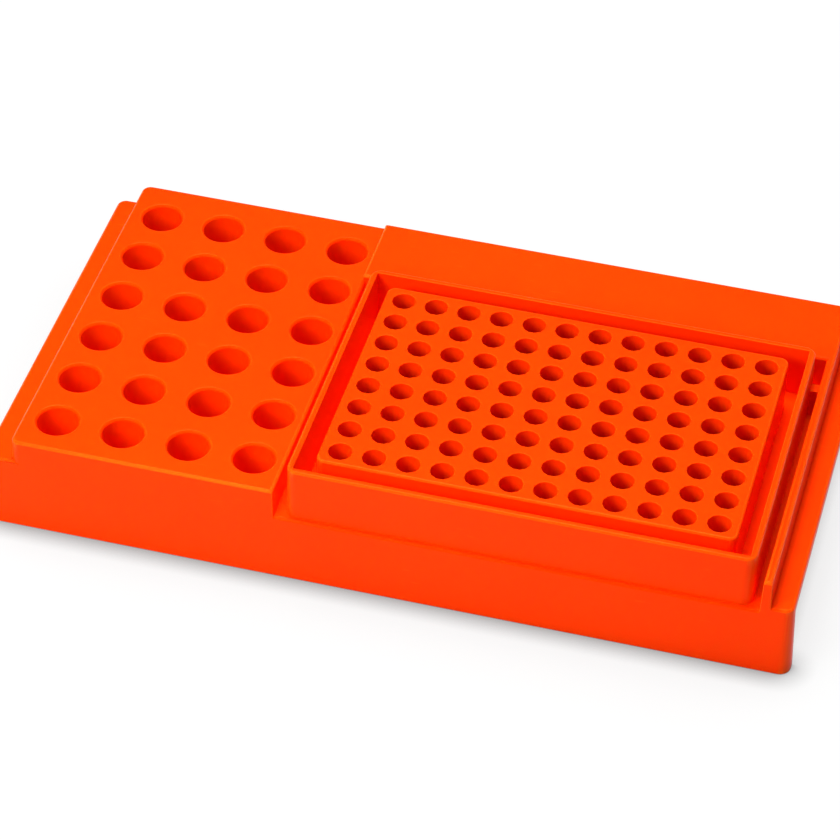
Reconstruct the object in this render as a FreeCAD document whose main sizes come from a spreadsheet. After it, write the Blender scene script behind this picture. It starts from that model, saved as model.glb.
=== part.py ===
import FreeCAD, Part
import math
import os
import Sketcher

# Tube rack: one moulding with a deck of large sockets on the left and a raised
# block of small wells on the right. All lengths are in millimetres. The origin
# is at the bottom centre, X to the right, Y to the back, Z up.

SIZES = [
    ("ledgelength", 214.4),
    ("footdepth", 115.2),
    ("draftangle", 2.0),
    ("cornerradius", 2.4),
    ("edgebevel", 0.55),
    ("rimbevel", 0.45),
    ("bury", 2.0),
    ("wall", 2.0),
    ("endwall", 2.8),
    ("skin", 2.2),
    ("ledgeheight", 21.6),
    ("bayheight", 19.9),
    ("deckheight", 28.3),
    ("frameheight", 29.8),
    ("blockheight", 35.3),
    ("deckleft", -99.6),
    ("deckright", -28.8),
    ("bayback", 32.8),
    ("bayright", 99.0),
    ("frameright", 101.2),
    ("blockleft", -25.7),
    ("blockright", 96.4),
    ("blockfront", -55.5),
    ("blockback", 30.1),
    ("blockcorner", 3.0),
    ("blockdraft", 0.6),
    ("rimwall", 1.7),
    ("troughwidth", 4.5),
    ("platformcorner", 2.4),
    ("platformskin", 6.0),
    ("socketpitch", 17.8),
    ("socketleft", -90.3),
    ("socketfront", -45.4),
    ("socketbore", 11.0),
    ("socketdepth", 24.8),
    ("socketwall", 1.4),
    ("socketcolumns", 4),
    ("socketrows", 6),
    ("mouthwidth", 12.2),
    ("mouthangle", 90.0),
    ("tubesides", 12),
    ("wellpitch", 9.0),
    ("wellleft", -14.1),
    ("wellfront", -44.35),
    ("wellbore", 6.4),
    ("wellcolumns", 12),
    ("wellrows", 8),
    ("wellsides", 12),
    ("gripthickness", 3.0),
    ("griplength", 105.4),
    ("tabfront", 20.8),
    ("tabback", 23.8),
    ("tabdrop", 1.6),
    ("overlap", 0.5),
]
CLOSE = 0.01

doc = FreeCAD.newDocument("tube_rack")
sheet = doc.addObject("Spreadsheet::Sheet", "sizes")
for row, (alias, number) in enumerate(SIZES, 1):
    sheet.set("A%d" % row, alias)
    sheet.set("B%d" % row, str(number))
    sheet.setAlias("B%d" % row, alias)
doc.recompute()

body = doc.addObject("PartDesign::Body", "rack")
body.Label = "rack_body"


def origin_item(role):
    """The body's own origin plane or axis with this role."""
    for item in body.Origin.OriginFeatures:
        if item.Role == role:
            return item


def level_sketch(name, height):
    """An empty sketch level with the table, at a height from the sheet."""
    sketch = body.newObject("Sketcher::SketchObject", name)
    sketch.AttachmentSupport = (origin_item("XY_Plane"), [""])
    sketch.MapMode = "FlatFace"
    sketch.setExpression("AttachmentOffset.Base.z", height)
    return sketch


def rectangle(sketch, left, right, front, back, radius=None, rounded=(0, 1, 2, 3)):
    """A rectangle with sides at four expressions, and some or all corners rounded.

    The corners count from the front left one, anticlockwise seen from above.
    """
    first = sketch.GeometryCount
    across = [sketch.evalExpression(left), sketch.evalExpression(right)]
    along = [sketch.evalExpression(front), sketch.evalExpression(back)]
    turn = sketch.evalExpression(radius) if radius else 0
    corners = [(0, 0, 1, 1), (1, 0, -1, 1), (1, 1, -1, -1), (0, 1, 1, -1)]
    starts = []
    ends = []
    for k, (column, line, right_way, back_way) in enumerate(corners):
        corner = FreeCAD.Vector(across[column], along[line], 0)
        step = turn if k in rounded else 0
        beside = corner + FreeCAD.Vector(right_way * step, 0, 0)
        above = corner + FreeCAD.Vector(0, back_way * step, 0)
        starts.append(beside if k % 2 == 0 else above)
        ends.append(above if k % 2 == 0 else beside)
    for k in range(4):
        sketch.addGeometry(Part.LineSegment(starts[k], ends[(k + 1) % 4]), False)
    for k in range(4):
        before = first + (k + 3) % 4
        if not radius or k not in rounded:
            sketch.addConstraint(Sketcher.Constraint("Coincident", before, 2, first + k, 1))
            continue
        column, line, right_way, back_way = corners[k]
        middle = FreeCAD.Vector(across[column] + right_way * turn, along[line] + back_way * turn, 0)
        round_part = Part.Circle(middle, FreeCAD.Vector(0, 0, 1), turn)
        begin = math.pi * (1 + k / 2)
        arc = sketch.addGeometry(Part.ArcOfCircle(round_part, begin, begin + math.pi / 2), False)
        sketch.addConstraint(Sketcher.Constraint("Tangent", before, 2, arc, 1))
        sketch.addConstraint(Sketcher.Constraint("Tangent", arc, 2, first + k, 1))
        index = sketch.addConstraint(Sketcher.Constraint("Radius", arc, turn))
        sketch.setExpression("Constraints[%d]" % index, radius)
    sketch.addConstraint(Sketcher.Constraint("Horizontal", first))
    sketch.addConstraint(Sketcher.Constraint("Vertical", first + 1))
    sketch.addConstraint(Sketcher.Constraint("Horizontal", first + 2))
    sketch.addConstraint(Sketcher.Constraint("Vertical", first + 3))
    sides = [
        ("DistanceX", first + 3, across[0], left),
        ("DistanceX", first + 1, across[1], right),
        ("DistanceY", first, along[0], front),
        ("DistanceY", first + 2, along[1], back),
    ]
    for kind, line, distance, source in sides:
        index = sketch.addConstraint(Sketcher.Constraint(kind, -1, 1, line, 1, distance))
        sketch.setExpression("Constraints[%d]" % index, source)


def ring(sketch, across, along, diameter, sides=0):
    """A circle at expressions, or a regular prism outline of the same mean width."""
    spots = (sketch.evalExpression(across), sketch.evalExpression(along))
    middle = FreeCAD.Vector(spots[0], spots[1], 0)
    radius = sketch.evalExpression(diameter) / 2
    outline = sketch.addGeometry(Part.Circle(middle, FreeCAD.Vector(0, 0, 1), radius), sides > 0)
    rules = [
        (Sketcher.Constraint("DistanceX", -1, 1, outline, 3, spots[0]), across),
        (Sketcher.Constraint("DistanceY", -1, 1, outline, 3, spots[1]), along),
        (Sketcher.Constraint("Radius", outline, radius), diameter + " / 2"),
    ]
    for rule, source in rules:
        index = sketch.addConstraint(rule)
        sketch.setExpression("Constraints[%d]" % index, source)
    if not sides:
        return
    turn = 2 * math.pi / sides
    corners = []
    for k in range(sides):
        swing = turn * (k + 0.5)
        corners.append(middle + FreeCAD.Vector(radius * math.cos(swing), radius * math.sin(swing), 0))
    first = sketch.GeometryCount
    for k in range(sides):
        sketch.addGeometry(Part.LineSegment(corners[k], corners[(k + 1) % sides]), False)
    for k in range(sides):
        following = first + (k + 1) % sides
        sketch.addConstraint(Sketcher.Constraint("Coincident", first + k, 2, following, 1))
        sketch.addConstraint(Sketcher.Constraint("PointOnObject", first + k, 1, outline))
        if k:
            sketch.addConstraint(Sketcher.Constraint("Equal", first, first + k))
    sketch.addConstraint(Sketcher.Constraint("Vertical", first + sides - 1))


def pad(name, sketch, height):
    """Material from the sketch upwards."""
    feature = body.newObject("PartDesign::Pad", name)
    feature.Profile = sketch
    feature.setExpression("Length", height)
    return feature


def drafted_pad(name, sketch, depth, draft):
    """Material from the sketch downwards, growing wider by the draft angle."""
    feature = body.newObject("PartDesign::Pad", name)
    feature.Profile = sketch
    feature.Reversed = True
    feature.setExpression("Length", depth)
    feature.setExpression("TaperAngle", draft)
    return feature


def pocket(name, sketch, depth, upwards=False):
    """Material cut away below the sketch, or above it."""
    feature = body.newObject("PartDesign::Pocket", name)
    feature.Profile = sketch
    feature.setExpression("Length", depth)
    feature.Reversed = upwards
    return feature


def grid(name, feature, pitch, columns, rows):
    """Repeat one feature on a square grid to the right and to the back."""
    pattern = body.newObject("PartDesign::MultiTransform", name)
    pattern.Originals = [feature]
    steps = []
    for role, count in (("X_Axis", columns), ("Y_Axis", rows)):
        step = body.newObject("PartDesign::LinearPattern", name + "_" + role[0].lower())
        step.Direction = (origin_item(role), [""])
        step.Mode = "Spacing"
        step.setExpression("Offset", pitch)
        step.setExpression("Occurrences", count)
        steps.append(step)
    pattern.Transformations = steps
    pattern.Refine = False
    body.Tip = pattern
    return pattern


def value(name):
    """The number that a sheet alias holds."""
    return float(sheet.get(name))


def bevel_edges(name, width, wanted):
    """Bevel the edges of the last feature that the test picks."""
    doc.recompute()
    last = body.Tip
    picked = []
    for number, edge in enumerate(last.Shape.Edges, 1):
        if wanted(edge):
            picked.append("Edge%d" % number)
    feature = body.newObject("PartDesign::Chamfer", name)
    feature.Base = (last, picked)
    feature.setExpression("Size", width)
    return feature


def is_level_at(edge, height):
    """True for an edge that lies in the level plane at a height."""
    return all(abs(vertex.Z - height) < CLOSE for vertex in edge.Vertexes)


def is_within(edge, left, right, front, back):
    """True for an edge whose middle lies inside a rectangle."""
    spot = edge.CenterOfMass
    return left < spot.x < right and front < spot.y < back


def half_depth(height):
    """Half of the drafted depth at a height, as an expression."""
    return "(sizes.footdepth / 2 - %s * tan(sizes.draftangle))" % height


# Drafted base up to the ledges
sketch = level_sketch("base_outline", "sizes.ledgeheight")
rectangle(
    sketch,
    "-sizes.ledgelength / 2",
    "sizes.ledgelength / 2",
    "-" + half_depth("sizes.ledgeheight"),
    half_depth("sizes.ledgeheight"),
    "sizes.cornerradius",
)
drafted_pad("base", sketch, "sizes.ledgeheight", "sizes.draftangle")
bevel_edges("base_top_edge", "sizes.edgebevel", lambda edge: is_level_at(edge, value("ledgeheight")))

# Frame: the band behind the bay and the wall at its right
sketch = level_sketch("frame_outline", "sizes.frameheight")
rectangle(
    sketch,
    "sizes.deckright - sizes.edgebevel",
    "sizes.frameright",
    "-" + half_depth("sizes.frameheight"),
    half_depth("sizes.frameheight"),
    "sizes.cornerradius",
    (2,),
)
drafted_pad("frame", sketch, "sizes.frameheight - sizes.bayheight + sizes.bury", "sizes.draftangle")

sketch = level_sketch("bay_outline", "sizes.frameheight")
rectangle(sketch, "sizes.deckright - sizes.wall * 2", "sizes.bayright", "-sizes.footdepth", "sizes.bayback")
bay = pocket("bay", sketch, "sizes.frameheight - sizes.bayheight")
bay.setExpression("TaperAngle", "-sizes.draftangle")
bevel_edges("frame_top_edge", "sizes.edgebevel", lambda edge: is_level_at(edge, value("frameheight")))


def is_bay_lip(edge):
    """True for the front edge of the bay's floor."""
    return is_level_at(edge, value("bayheight")) and edge.CenterOfMass.y < value("blockfront")


bevel_edges("bay_front_edge", "sizes.edgebevel", is_bay_lip)

# Deck for the large sockets, a step below the frame
sketch = level_sketch("deck_outline", "sizes.deckheight")
rectangle(
    sketch,
    "sizes.deckleft",
    "sizes.deckright",
    "-" + half_depth("sizes.deckheight"),
    half_depth("sizes.deckheight"),
    "sizes.cornerradius",
    (0, 3),
)
drafted_pad("deck", sketch, "sizes.deckheight - sizes.bayheight + sizes.bury", "sizes.draftangle")


def is_deck_rim(edge):
    """True for the deck's top edges that do not meet the frame."""
    right = value("deckright")
    front = value("bayback") - value("wall")
    meets_frame = is_within(edge, right - value("wall"), right, front, value("footdepth"))
    return is_level_at(edge, value("deckheight")) and not meets_frame


bevel_edges("deck_top_edge", "sizes.edgebevel", is_deck_rim)

# Raised block in the bay
sketch = level_sketch("block_outline", "sizes.blockheight")
rectangle(
    sketch,
    "sizes.blockleft",
    "sizes.blockright",
    "sizes.blockfront",
    "sizes.blockback",
    "sizes.blockcorner",
)
drafted_pad("block", sketch, "sizes.blockheight - sizes.bayheight + sizes.bury", "sizes.blockdraft")

# Trough around the platform, down to the level of the bay floor
sketch = level_sketch("trough_outline", "sizes.blockheight")
rectangle(
    sketch,
    "sizes.blockleft + sizes.rimwall",
    "sizes.blockright - sizes.rimwall",
    "sizes.blockfront + sizes.rimwall",
    "sizes.blockback - sizes.rimwall",
)
rectangle(
    sketch,
    "sizes.blockleft + sizes.rimwall + sizes.troughwidth",
    "sizes.blockright - sizes.rimwall - sizes.troughwidth",
    "sizes.blockfront + sizes.rimwall + sizes.troughwidth",
    "sizes.blockback - sizes.rimwall - sizes.troughwidth",
    "sizes.platformcorner",
)
trough = pocket("trough", sketch, "sizes.blockheight - sizes.bayheight")
trough.setExpression("TaperAngle", "-sizes.blockdraft")


def is_block_rim(edge):
    """True for the outer top edges of the block and for those of the platform."""
    inside = []
    for step in (value("rimwall") / 2, value("rimwall") + value("troughwidth") / 2):
        left = value("blockleft") + step
        right = value("blockright") - step
        inside.append(is_within(edge, left, right, value("blockfront") + step, value("blockback") - step))
    return is_level_at(edge, value("blockheight")) and inside[0] == inside[1]


bevel_edges("block_top_edges", "sizes.rimbevel", is_block_rim)

# Small tab across the slot at the right of the block
sketch = level_sketch("tab_outline", "sizes.bayheight")
rectangle(
    sketch,
    "sizes.blockright - sizes.overlap",
    "sizes.bayright + sizes.overlap",
    "sizes.tabfront",
    "sizes.tabback",
)
pad("slot_tab", sketch, "sizes.frameheight - sizes.tabdrop - sizes.bayheight")

# Hollow underside: the deck, the band behind the bay and the platform
sketch = level_sketch("floor_hollow_outline", "0")
rectangle(
    sketch,
    "sizes.deckleft + sizes.endwall",
    "sizes.frameright - sizes.endwall",
    "-sizes.footdepth / 2 + sizes.endwall",
    "sizes.footdepth / 2 - sizes.endwall",
)
pocket("floor_hollow", sketch, "sizes.bayheight - sizes.skin", True)
sketch = level_sketch("deck_hollow_outline", "sizes.bayheight - sizes.skin - sizes.overlap")
rectangle(
    sketch,
    "sizes.deckleft + sizes.endwall",
    "sizes.deckright - sizes.wall",
    "-sizes.footdepth / 2 + sizes.endwall",
    "sizes.footdepth / 2 - sizes.endwall",
)
pocket("deck_hollow", sketch, "sizes.deckheight - sizes.bayheight + sizes.overlap", True)
sketch = level_sketch("band_hollow_outline", "sizes.bayheight - sizes.skin - sizes.overlap")
rectangle(
    sketch,
    "sizes.deckright",
    "sizes.frameright - sizes.endwall",
    "sizes.bayback + sizes.wall",
    "sizes.footdepth / 2 - sizes.endwall",
)
pocket("band_hollow", sketch, "sizes.frameheight - sizes.bayheight + sizes.overlap", True)
sketch = level_sketch("platform_hollow_outline", "sizes.bayheight - sizes.skin - sizes.overlap")
rectangle(
    sketch,
    "sizes.blockleft + sizes.rimwall + sizes.troughwidth + sizes.wall",
    "sizes.blockright - sizes.rimwall - sizes.troughwidth - sizes.wall",
    "sizes.blockfront + sizes.rimwall + sizes.troughwidth + sizes.wall",
    "sizes.blockback - sizes.rimwall - sizes.troughwidth - sizes.wall",
)
pocket(
    "platform_hollow",
    sketch,
    "sizes.blockheight - sizes.bayheight + sizes.skin + sizes.overlap - sizes.platformskin",
    True,
)

# Finger recesses under the ledges at both ends
sketch = level_sketch("grip_outline", "0")
rectangle(sketch, "-sizes.ledgelength", "sizes.deckleft", "-sizes.griplength / 2", "sizes.griplength / 2")
rectangle(sketch, "sizes.frameright", "sizes.ledgelength", "-sizes.griplength / 2", "sizes.griplength / 2")
pocket("grips", sketch, "sizes.ledgeheight - sizes.gripthickness", True)

# Large sockets: closed tubes that hang under the deck
sketch = level_sketch("socket_tube_outline", "sizes.deckheight - sizes.socketdepth - sizes.socketwall")
tube_width = "(sizes.socketbore + 2 * sizes.socketwall)"
ring(sketch, "sizes.socketleft", "sizes.socketfront", tube_width, int(value("tubesides")))
tube = pad("socket_tube", sketch, "sizes.socketdepth + sizes.socketwall - sizes.skin / 2")
grid("socket_tubes", tube, "sizes.socketpitch", "sizes.socketcolumns", "sizes.socketrows")

sketch = level_sketch("socket_centre", "sizes.deckheight")
ring(sketch, "sizes.socketleft", "sizes.socketfront", "sizes.socketbore")
doc.recompute()
socket = body.newObject("PartDesign::Hole", "socket")
socket.Profile = sketch
doc.recompute()
socket.DepthType = "Dimension"
socket.setExpression("Depth", "sizes.socketdepth")
socket.setExpression("Diameter", "sizes.socketbore")
socket.DrillPoint = "Flat"
socket.HoleCutType = "Countersink"
socket.setExpression("HoleCutDiameter", "sizes.mouthwidth")
socket.setExpression("HoleCutCountersinkAngle", "sizes.mouthangle")
grid("sockets", socket, "sizes.socketpitch", "sizes.socketcolumns", "sizes.socketrows")

# Small wells through the platform
sketch = level_sketch("well_centre", "sizes.blockheight")
ring(sketch, "sizes.wellleft", "sizes.wellfront", "sizes.wellbore", int(value("wellsides")))
well = pocket("well", sketch, "sizes.platformskin + sizes.overlap")
grid("wells", well, "sizes.wellpitch", "sizes.wellcolumns", "sizes.wellrows")
doc.recompute()

problems = []
for item in doc.Objects:
    if "Invalid" in item.State or "Error" in item.State:
        problems.append(item.Name)
if problems:
    raise RuntimeError("not built: " + ", ".join(problems))
shape = body.Tip.Shape
if shape.isNull() or not shape.isValid() or len(shape.Solids) != 1:
    raise RuntimeError("the rack is not one sound solid")

os.makedirs("parts", exist_ok=True)
body.Shape.exportStep("parts/rack_body.step")
box = shape.BoundBox
print("x", round(box.XMin, 2), round(box.XMax, 2), "y", round(box.YMin, 2), round(box.YMax, 2))
print("z", round(box.ZMin, 2), round(box.ZMax, 2), "volume cm3", round(shape.Volume / 1000, 2))
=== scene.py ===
# %% [markdown]
# # A moulded tube rack
# The rack is one satin plastic moulding: a low deck of large sockets beside a raised
# block of small wells. The exact solid comes from the CAD frame. Blender adds what a
# solid model leaves out: the soft edges of a moulding, its plastic, the light and the
# camera.

# %% Load the frame
import math

import bmesh
import bpy
from mathutils import Matrix, Vector


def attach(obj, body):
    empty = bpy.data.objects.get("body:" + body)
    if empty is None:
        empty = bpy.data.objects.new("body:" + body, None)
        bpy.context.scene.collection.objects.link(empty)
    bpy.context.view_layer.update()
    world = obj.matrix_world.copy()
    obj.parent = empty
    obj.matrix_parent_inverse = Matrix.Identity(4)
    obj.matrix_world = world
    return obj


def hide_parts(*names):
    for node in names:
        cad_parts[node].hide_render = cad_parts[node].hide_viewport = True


MM = 0.001
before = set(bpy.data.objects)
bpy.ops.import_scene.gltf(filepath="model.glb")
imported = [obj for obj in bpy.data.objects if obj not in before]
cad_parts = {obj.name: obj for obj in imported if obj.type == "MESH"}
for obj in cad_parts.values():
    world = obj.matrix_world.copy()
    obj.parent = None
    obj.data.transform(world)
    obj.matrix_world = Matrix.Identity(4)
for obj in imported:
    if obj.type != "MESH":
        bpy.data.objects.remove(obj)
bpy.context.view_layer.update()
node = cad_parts["rack_body"]
scene = bpy.context.scene

# %% [markdown]
# ## Soft edges
# A mould can't make a knife edge, so every lip of the real rack catches a thin line of
# light. The CAD mesh has thousands of small triangles on its flat faces, which a bevel
# can't follow. So the mesh is copied, its flat triangles are joined into whole faces,
# and a bevel rounds only the edges that really turn. The copy stands for the CAD node.

# %% Join the flat triangles of a copy
TINY = 0.06 * MM
FLAT = math.radians(0.6)


def joined_copy(source, name):
    """A copy of a mesh object whose flat triangles are whole faces."""
    form = bmesh.new()
    form.from_mesh(source.data)
    before = len(form.faces)
    bmesh.ops.remove_doubles(form, verts=form.verts, dist=TINY)
    bmesh.ops.dissolve_limit(
        form,
        angle_limit=FLAT,
        use_dissolve_boundaries=False,
        verts=form.verts,
        edges=form.edges,
        delimit=set(),
    )
    for face in form.faces:
        face.smooth = True
    mesh = bpy.data.meshes.new(name)
    form.to_mesh(mesh)
    print(name, "has", len(form.faces), "faces, from", before)
    form.free()
    made = bpy.data.objects.new(name, mesh)
    scene.collection.objects.link(made)
    return made


rack = joined_copy(node, "rack_moulding")

# %% [markdown]
# ## How the edges are rounded
# The bevel's own clamp stays off, because the smallest edge on the rack would shrink
# every rounding with it. Without the clamp, a rounding can shoot out where two edges
# meet like a needle. Only a few edges that turn by less than 42 degrees do that, so the
# limit leaves them sharp. Weighted normals then keep the flat faces flat in the shading.

# %% Round the edges that turn
ROUNDING = 0.24 * MM
STEPS = 3
TURN = math.radians(42)
FULL_WEIGHT = 100

bevel = rack.modifiers.new("soft_edges", "BEVEL")
bevel.width = ROUNDING
bevel.segments = STEPS
bevel.limit_method = "ANGLE"
bevel.angle_limit = TURN
bevel.use_clamp_overlap = False
bevel.miter_outer = "MITER_ARC"
even = rack.modifiers.new("flat_faces", "WEIGHTED_NORMAL")
even.mode = "FACE_AREA"
even.weight = FULL_WEIGHT
finished = rack.evaluated_get(bpy.context.evaluated_depsgraph_get())
rounded = bpy.data.meshes.new_from_object(finished)
rack.modifiers.clear()
rack.data = rounded
rack.data.name = "rack_moulding"
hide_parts("rack_body")
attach(rack, "root")
print("rounded to", len(rack.data.polygons), "faces")

# %% [markdown]
# ## Pale raised edges: use and painted highlight
# The raised edges of a used rack are paler than its flat faces, and that paler colour is
# also a painted highlight: it stands in for the thin line of light those edges catch. A
# bevel makes narrow strips, and those that bulge outwards are the edges that take the
# use. Each corner point between such strips gets a value from 0 to 1 for this paling,
# which the plastic reads. A point of a flat face gets none, not even where the flat face
# is a sliver.

# %% Mark the raised edges
STRIP = 0.9 * MM
SQUARE = math.cos(math.radians(5))
BEND = 0.03
FULL_BEND = 0.09


def breadth(face):
    """How wide a long face is."""
    return 2 * face.calc_area() / face.calc_perimeter()


def flat(face):
    """Whether a face is broad, or lies square to an axis as the flat faces do."""
    return breadth(face) > STRIP or max(abs(part) for part in face.normal) > SQUARE


def wear_and_highlight_strength(point):
    """How strongly a point is a raised edge, from 0 to 1."""
    if any(flat(face) for face in point.link_faces):
        return 0.0
    steps = [(point.co - edge.other_vert(point).co).normalized() for edge in point.link_edges]
    bend = sum(step.dot(point.normal) for step in steps) / len(steps)
    return min(max((bend - BEND) / (FULL_BEND - BEND), 0.0), 1.0)


form = bmesh.new()
form.from_mesh(rack.data)
# Each point's value is edge paling from use together with a painted highlight.
edge_wear_and_highlight_values = [wear_and_highlight_strength(point) for point in form.verts]
form.free()
rack.data.attributes.new("edge_wear_and_highlight", "FLOAT", "POINT").data.foreach_set("value", edge_wear_and_highlight_values)
print("worn_and_highlit points", sum(1 for entry in edge_wear_and_highlight_values if entry > 0.5), "of", len(edge_wear_and_highlight_values))

# %% [markdown]
# ## Node helper
# The plastic is a small sum of noises. Writing it as ordinary arithmetic keeps it
# readable, so a tiny class turns + and * on sockets into Math nodes, and one method
# makes any other node.


# %% Arithmetic on sockets
class Wire:
    """An output socket in a material, with arithmetic."""

    def __init__(self, tree, socket):
        self.tree = tree
        self.socket = socket

    def make(self, kind, output=0, settings=None, **inputs):
        """Add a node, set it up, join its inputs and return one output.

        An input goes by its socket's name, or by i and its place in the list.
        """
        made = self.tree.nodes.new(kind)
        for key, entry in (settings or {}).items():
            setattr(made, key, entry)
        for key, entry in inputs.items():
            target = made.inputs[int(key[1:])] if key[1:].isdigit() else made.inputs[key]
            if isinstance(entry, Wire):
                self.tree.links.new(entry.socket, target)
            else:
                target.default_value = entry
        return Wire(self.tree, made.outputs[output])

    def math(self, operation, first, second, clamp=False):
        chosen = {"operation": operation, "use_clamp": clamp}
        return self.make("ShaderNodeMath", settings=chosen, i0=first, i1=second)

    def __add__(self, other):
        return self.math("ADD", self, other)

    def __sub__(self, other):
        return self.math("SUBTRACT", self, other)

    def __rsub__(self, other):
        return self.math("SUBTRACT", other, self)

    def __mul__(self, other):
        return self.math("MULTIPLY", self, other)

    def __pow__(self, other):
        return self.math("POWER", self, other)

    def above(self, level, slope):
        """A soft mask that starts at a level and rises by a slope, from 0 to 1."""
        return self.math("MULTIPLY", self - level, slope, clamp=True)

    __radd__ = __add__
    __rmul__ = __mul__


# %% [markdown]
# ## Satin orange plastic
# The rack is dyed polypropylene: a strong warm orange, a soft sheen and a faint grain
# from the mould. Light goes a little way into it, so recesses glow deep red instead of
# going black. Slow noise shifts the dye a little, fine noise makes the grain, and sparse
# stretched noise makes the hairline scuffs of bench use. Object coordinates carry all
# of it, because they stay put on the form. In the sums below, the value beside a noise
# says how much it counts.

# %% Start the plastic
plastic = bpy.data.materials.new("orange_plastic")
plastic.use_nodes = True
tree = plastic.node_tree
shader = tree.nodes["Principled BSDF"]
start = Wire(tree, None)
place = start.make("ShaderNodeTexCoord", output=3)
# The edge values paint a highlight on raised edges as well as their paler colour from use.
edge_wear_and_highlight = start.make("ShaderNodeAttribute", output=2, settings={"attribute_name": "edge_wear_and_highlight"})


def noise(spot, scale, detail, roughness):
    """Noise over the form, from 0 to 1, with its grain size set by scale."""
    return start.make(
        "ShaderNodeTexNoise", Vector=spot, Scale=scale, Detail=detail, Roughness=roughness
    )


def blend(factor, first, second):
    """One colour turning into another by a factor."""
    chosen = {"data_type": "RGBA"}
    return start.make(
        "ShaderNodeMix", output=2, settings=chosen, Factor=factor, i6=first, i7=second
    )


print("plastic starts with", len(tree.nodes), "nodes")

# %% Lay the noises over the form
DYE_SCALE = 22.0
GRAIN_SCALE = 1900.0
HAIR_SCALE = 1400.0
PATCH_SCALE = 34.0
SLANT = (0.0, 0.0, 0.5)
STRETCH = (0.12, 1.0, 1.0)

flow = noise(place, DYE_SCALE, detail=3.0, roughness=0.5)
grain = noise(place, GRAIN_SCALE, detail=3.0, roughness=0.6)
stretched = start.make("ShaderNodeMapping", Vector=place, Rotation=SLANT, Scale=STRETCH)
lines = noise(stretched, HAIR_SCALE, detail=2.0, roughness=0.5)
hairlines = lines.above(level=0.64, slope=9.0)
areas = noise(place, PATCH_SCALE, detail=2.0, roughness=0.5)
patches = areas.above(level=0.52, slope=7.0)
scuffs = hairlines * patches
print("noises bring it to", len(tree.nodes), "nodes")

# %% Colour, gloss and relief
ORANGE = (1.0, 0.047, 0.0, 1.0)
DEEP_ORANGE = (1.0, 0.035, 0.0, 1.0)
# The pale orange of raised edges is also a painted highlight on those edges.
WORN_AND_HIGHLIT_ORANGE = (1.0, 0.115, 0.004, 1.0)
RELIEF = 0.03 * MM

dye = blend(flow, DEEP_ORANGE, ORANGE)
# Raised edges turn paler by use and by a painted highlight; scuffs are paler by use only.
wear_highlight_and_scuffs = edge_wear_and_highlight * (flow * 0.5 + 0.45) + scuffs * 0.22
gloss = 0.30 + flow * 0.06 + grain * 0.05 + scuffs * 0.14 - edge_wear_and_highlight * 0.06
height = grain + flow * 0.5 - scuffs * 0.8
relief = start.make("ShaderNodeBump", Strength=0.12, Distance=RELIEF, Height=height)
tree.links.new(blend(wear_highlight_and_scuffs, dye, WORN_AND_HIGHLIT_ORANGE).socket, shader.inputs["Base Color"])
tree.links.new(gloss.socket, shader.inputs["Roughness"])
tree.links.new(relief.socket, shader.inputs["Normal"])
print("plastic has", len(tree.nodes), "nodes")

# %% [markdown]
# ## How light enters the plastic
# These values are the same all over the rack, so they are set on the shader itself. The
# sheen is weak and takes the colour of the dye. Red light travels furthest inside the
# plastic, which gives the recesses their glow.

# %% Set the constant values
GLOW_DEPTH = 3.0 * MM

shader.inputs["IOR"].default_value = 1.49
shader.inputs["Specular IOR Level"].default_value = 0.1
shader.inputs["Specular Tint"].default_value = (1.0, 0.42, 0.04, 1.0)
shader.inputs["Subsurface Weight"].default_value = 0.35
shader.inputs["Subsurface Radius"].default_value = (1.0, 0.12, 0.02)
shader.inputs["Subsurface Scale"].default_value = GLOW_DEPTH
for wearer in (rack, node):
    wearer.data.materials.clear()
    wearer.data.materials.append(plastic)
print("plastic is on", rack.name, "and", node.name)

# %% [markdown]
# ## Floor
# The rack was pictured on a bright white sweep, with only a narrow, nearly neutral shadow
# where it meets the paper. Plain paper turns pink beside so strong an orange. So the camera
# mostly sees a glowing floor as bright as it is open to the sky, which an occlusion node
# works out. That darkening by the rack is a painted contact shadow, and a little of the
# real light and shadow on the paper is mixed in.

# %% Lay the floor
FLOOR_SIZE = 6.0

half = FLOOR_SIZE / 2
corners = [(-half, -half, 0), (half, -half, 0), (half, half, 0), (-half, half, 0)]
floor_mesh = bpy.data.meshes.new("floor")
floor_mesh.from_pydata(corners, [], [(0, 1, 2, 3)])
floor = bpy.data.objects.new("floor", floor_mesh)
scene.collection.objects.link(floor)
print("floor", FLOOR_SIZE, "m wide")

# %% Make the white paper
PAPER = (0.62, 0.63, 0.64, 1.0)
NARROW = 7 * MM
BROAD = 40 * MM
NARROW_SHARE = 0.86
BROAD_SHARE = 0.15
FALLOFF = 1.3
GLOWING_SHARE = 0.92

paper = bpy.data.materials.new("white_floor")
paper.use_nodes = True
floor_tree = paper.node_tree
floor_shader = floor_tree.nodes["Principled BSDF"]
floor_shader.inputs["Base Color"].default_value = PAPER
floor_shader.inputs["Roughness"].default_value = 0.9
floor_shader.inputs["Specular IOR Level"].default_value = 0.1
ground = Wire(floor_tree, None)


def openness_within(reach, samples):
    """How open a point of the floor is to what stands within reach."""
    chosen = {"samples": samples}
    kind = "ShaderNodeAmbientOcclusion"
    return ground.make(kind, output=1, settings=chosen, Distance=reach)


near = openness_within(NARROW, samples=12)
wide = openness_within(BROAD, samples=8)
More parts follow.
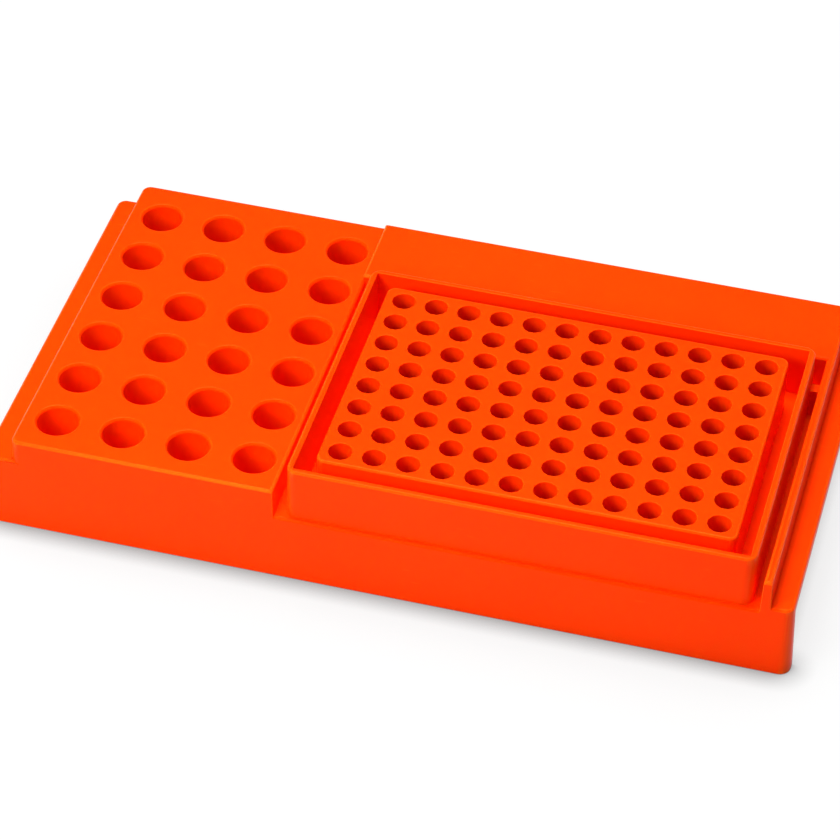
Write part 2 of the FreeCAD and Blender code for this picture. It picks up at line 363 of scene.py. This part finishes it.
# The floor's glow is darkened near the rack: a painted contact shadow.
painted_contact_shade = (near * NARROW_SHARE + wide * BROAD_SHARE) ** FALLOFF
bright = ground.make("ShaderNodeEmission", Color=painted_contact_shade, Strength=1.0)
direct = ground.make("ShaderNodeLightPath")
mirrored = ground.make("ShaderNodeLightPath", output=3)
through = ground.make("ShaderNodeLightPath", output=6)
seen = (direct + mirrored + through) * GLOWING_SHARE
mixed = floor_tree.nodes.new("ShaderNodeMixShader")
floor_tree.links.new(seen.socket, mixed.inputs[0])
floor_tree.links.new(floor_shader.outputs[0], mixed.inputs[1])
floor_tree.links.new(bright.socket, mixed.inputs[2])
floor_tree.links.new(mixed.outputs[0], floor_tree.nodes["Material Output"].inputs["Surface"])
floor_mesh.materials.append(paper)
print("paper has", len(floor_tree.nodes), "nodes")

# %% [markdown]
# ## Light
# A soft lamp stands before the front left corner, so the front is brightest there and
# the raised edges catch a line of it. A wide lamp overhead, a little behind, lights the
# tops evenly. The room itself is dim: recesses then get their light from the plastic
# around them, which makes them a deeper red than the tops.


# %% Hang the lamps
def soft_lamp(name, spot, aim, size, watts, tint):
    """A square area lamp at a spot, facing an aim."""
    light = bpy.data.lights.new(name, "AREA")
    light.size = size
    light.energy = watts
    light.color = tint
    lamp = bpy.data.objects.new(name, light)
    scene.collection.objects.link(lamp)
    lamp.location = spot
    lamp.rotation_euler = (Vector(aim) - Vector(spot)).to_track_quat("-Z", "Y").to_euler()
    return lamp


key = soft_lamp(
    "key",
    spot=(-0.21, -0.36, 0.30),
    aim=(-0.02, 0.0, 0.02),
    size=0.2,
    watts=2.1,
    tint=(1.0, 0.97, 0.93),
)
top = soft_lamp(
    "top",
    spot=(-0.1, 0.16, 0.95),
    aim=(0.0, 0.0, 0.0),
    size=0.45,
    watts=13.5,
    tint=(1.0, 0.97, 0.94),
)
print("lamps", key.name, "and", top.name)

# %% Light the room
ROOM = (1.0, 0.98, 0.96, 1.0)
ROOM_STRENGTH = 0.14

world = bpy.data.worlds.new("studio")
scene.world = world
world.use_nodes = True
sky = world.node_tree.nodes["Background"]
sky.inputs["Color"].default_value = ROOM
sky.inputs["Strength"].default_value = ROOM_STRENGTH
print("room at", ROOM_STRENGTH)

# %% [markdown]
# ## Camera
# The picture was taken with a long lens from the front right, looking well down on the
# rack. The place, the lens and the slight roll were solved from the grid of holes.

# %% Set the camera
AZIMUTH = math.radians(13.889)
ELEVATION = math.radians(41.212)
ROLL = math.radians(1.402)
EYE = (176.16 * MM, -729.60 * MM, 669.20 * MM)
LENS = 159.45
SENSOR = 36.0
NEAREST = 0.05
FURTHEST = 20.0

flat_reach = math.cos(ELEVATION)
forward = Vector(
    (-math.sin(AZIMUTH) * flat_reach, math.cos(AZIMUTH) * flat_reach, -math.sin(ELEVATION))
)
level = Vector((math.cos(AZIMUTH), math.sin(AZIMUTH), 0.0))
above = level.cross(forward)
right = level * math.cos(ROLL) + above * math.sin(ROLL)
up = right.cross(forward)
camera_data = bpy.data.cameras.new("camera")
camera_data.lens = LENS
camera_data.sensor_width = SENSOR
camera_data.clip_start = NEAREST
camera_data.clip_end = FURTHEST
camera = bpy.data.objects.new("camera", camera_data)
scene.collection.objects.link(camera)
axes = Matrix((right, up, -forward)).transposed().to_4x4()
camera.matrix_world = Matrix.Translation(EYE) @ axes
scene.camera = camera
scene.view_settings.view_transform = "Standard"
print("camera at", EYE)
